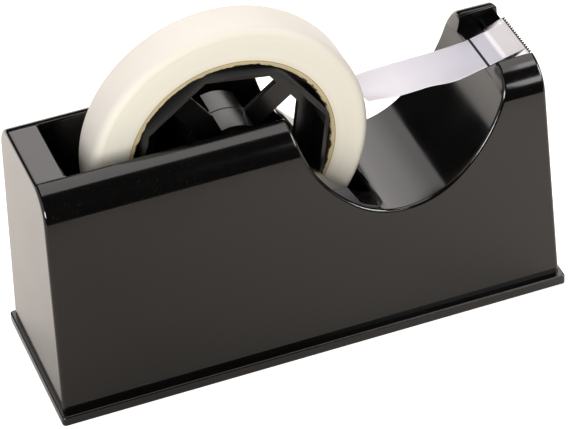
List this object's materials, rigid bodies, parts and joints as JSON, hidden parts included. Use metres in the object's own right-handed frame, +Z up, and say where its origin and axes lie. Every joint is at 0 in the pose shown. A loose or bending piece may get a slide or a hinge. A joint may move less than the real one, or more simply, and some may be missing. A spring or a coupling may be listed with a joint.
{
  "type": "weighted desk tape dispenser",
  "caption": "Weighted bench-top dispenser for adhesive tape: a moulded body with a deep roll well, a finger scoop and a serrated cutting blade, and a lift-out hub that carries the roll.",
  "frame": {"origin": "middle of the footprint, on the table", "axes": "+X towards the cutting blade, +Y towards the far long side, +Z up"},
  "size_m": [0.203, 0.0692, 0.1368],
  "materials": {
    "body_plastic": "black, semi-gloss, finely grained sides",
    "base_plastic": "black, semi-gloss",
    "hub_plastic": "black, glossy",
    "ballast_iron": "as cast",
    "bright_steel": "plain",
    "foot_rubber": "matt",
    "core_card": "wound card, brown",
    "tape_wound": "wound tape, cream",
    "tape_film": "frosted film, translucent"
  },
  "bodies": {
    "dispenser": {"housing": "body_plastic", "base_plate": "base_plastic", "ballast_block": "ballast_iron", "base_screws": "bright_steel", "foot_front_near": "foot_rubber", "foot_front_far": "foot_rubber", "foot_rear_near": "foot_rubber", "foot_rear_far": "foot_rubber", "blade": "bright_steel", "tape_strip": "tape_film"},
    "axle": {"axle": "bright_steel"},
    "roll": {"hub_half_near": "hub_plastic", "hub_half_far": "hub_plastic", "paper_core": "core_card", "tape_roll": "tape_wound"}
  },
  "joints": [
    {"name": "axle_lift", "type": "slide", "parent": "dispenser", "child": "axle", "axis": [0, 0, 1], "range_m": [0, 0.075]},
    {"name": "roll_spin", "type": "hinge", "parent": "axle", "child": "roll", "pos_m": [-0.02, 0, 0.083], "axis": [0, 1, 0], "continuous": true}
  ]
}
